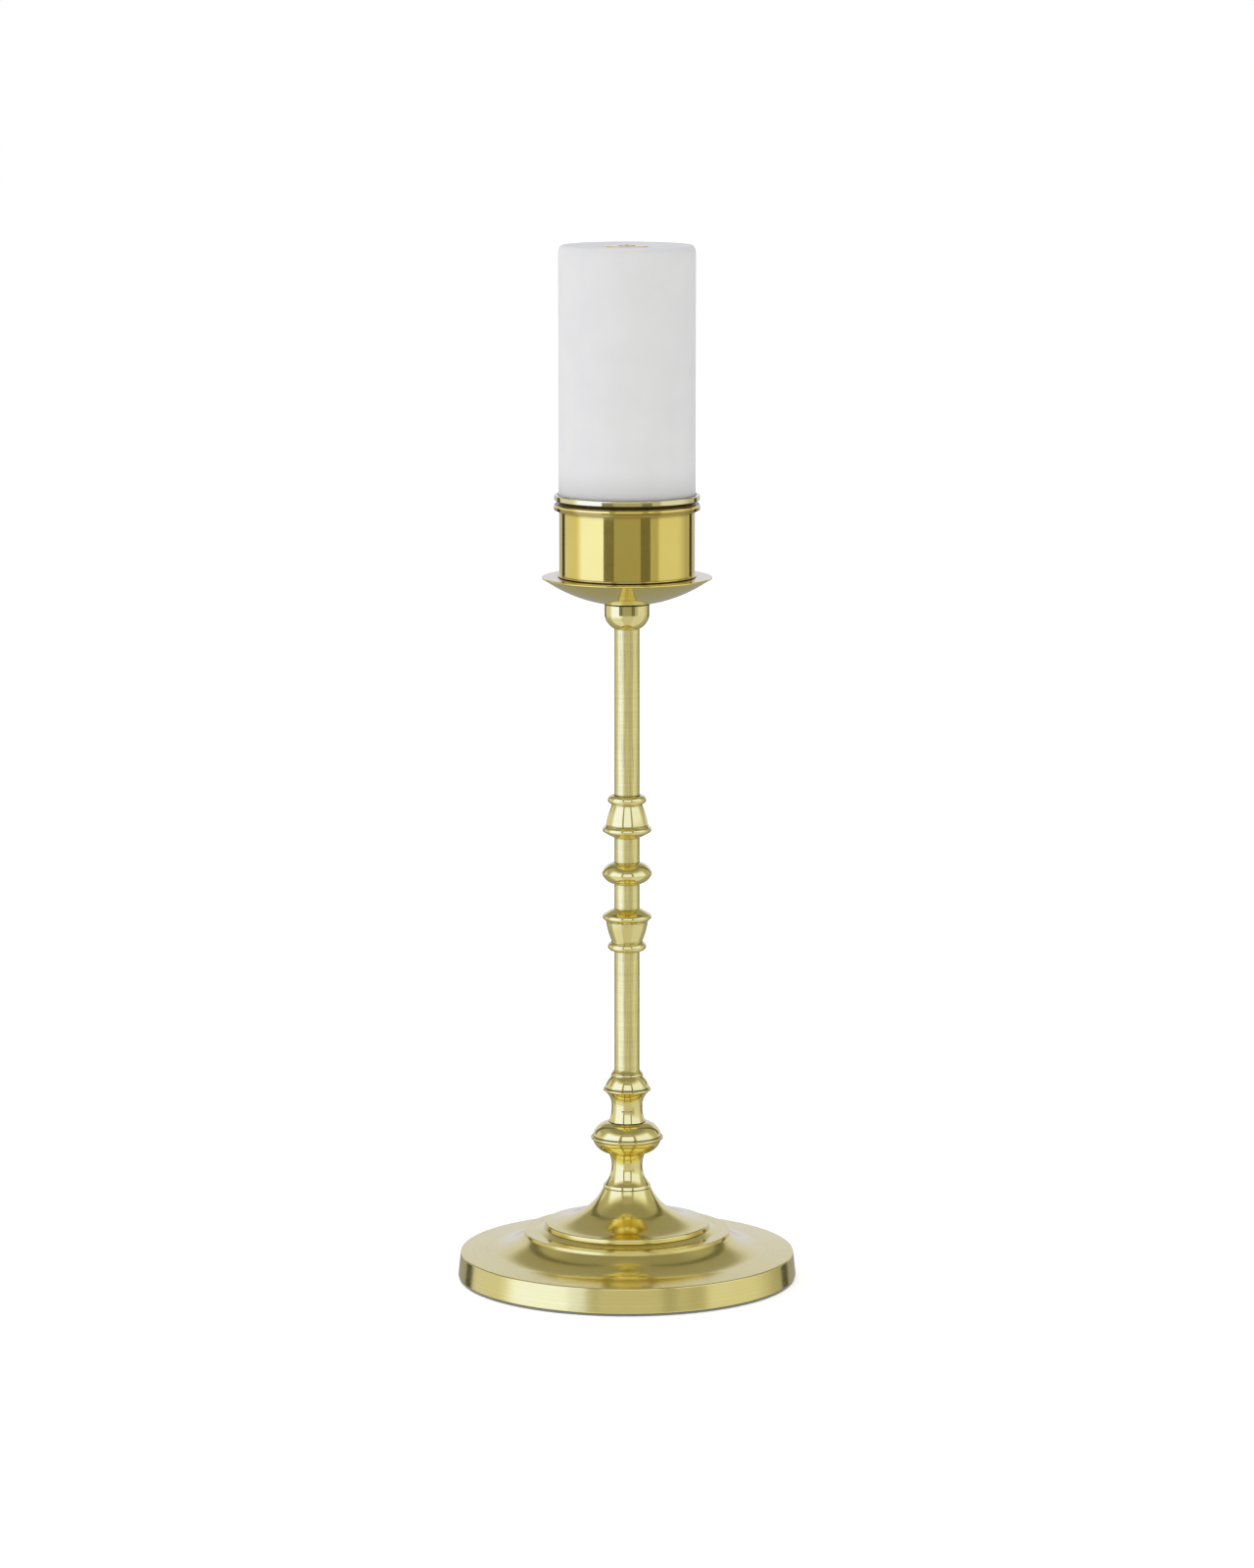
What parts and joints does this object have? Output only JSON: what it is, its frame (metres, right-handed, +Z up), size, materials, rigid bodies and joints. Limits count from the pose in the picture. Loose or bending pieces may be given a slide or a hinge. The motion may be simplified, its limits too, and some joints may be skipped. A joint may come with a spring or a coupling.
{
  "type": "pillar candle holder",
  "caption": "Tall turned brass candle holder: stepped round base, slim stem with knops and beads, drip dish, collar and lift-off pan carrying a white pillar candle with a brass burner insert.",
  "frame": {"origin": "centre of the base's underside, on the table", "axes": "+Z up along the stem's axis; the piece is round, so +X and +Y are free, and the viewer stands on -Y"},
  "size_m": [0.1748, 0.1748, 0.5337],
  "materials": {
    "polished_brass": "polished and lacquered yellow brass, faint turning lines",
    "brushed_brass": "satin brushed yellow brass tube",
    "spun_brass": "polished spun yellow brass",
    "steel": "zinc plated steel",
    "felt": "pressed grey felt",
    "iron": "rough cast iron",
    "wax": "matt white, slightly translucent like wax",
    "cell_plastic": "milky translucent plastic",
    "wick_fibre": "woven glass-fibre wick, off-white"
  },
  "bodies": {
    "holder": {"base_felt": "felt", "base_weight": "iron", "base_shell": "polished_brass", "base_bell": "polished_brass", "tie_rod": "steel", "rod_nuts": "steel", "rod_washers": "steel", "lower_neck": "polished_brass", "large_knop": "polished_brass", "upper_neck": "polished_brass", "lower_stem_tube": "brushed_brass", "lower_vase_collar": "polished_brass", "lower_spacer_tube": "brushed_brass", "centre_bead": "polished_brass", "upper_spacer_tube": "brushed_brass", "upper_vase_collar": "polished_brass", "upper_stem_tube": "brushed_brass", "cup_socket": "polished_brass", "dish_bowl": "spun_brass", "dish_plate": "spun_brass", "candle_collar": "spun_brass"},
    "pan": {"candle_pan": "spun_brass"},
    "candle": {"candle_body": "wax"},
    "burner": {"oil_cell": "cell_plastic", "burner_cap": "spun_brass", "wick_tube": "spun_brass", "wick": "wick_fibre"}
  },
  "joints": [
    {"name": "pan_lift", "type": "slide", "parent": "holder", "child": "pan", "axis": [0, 0, 1], "range_m": [0, 0.03]},
    {"name": "candle_lift", "type": "slide", "parent": "pan", "child": "candle", "axis": [0, 0, 1], "range_m": [0, 0.04]},
    {"name": "burner_lift", "type": "slide", "parent": "candle", "child": "burner", "axis": [0, 0, 1], "range_m": [0, 0.1]}
  ]
}
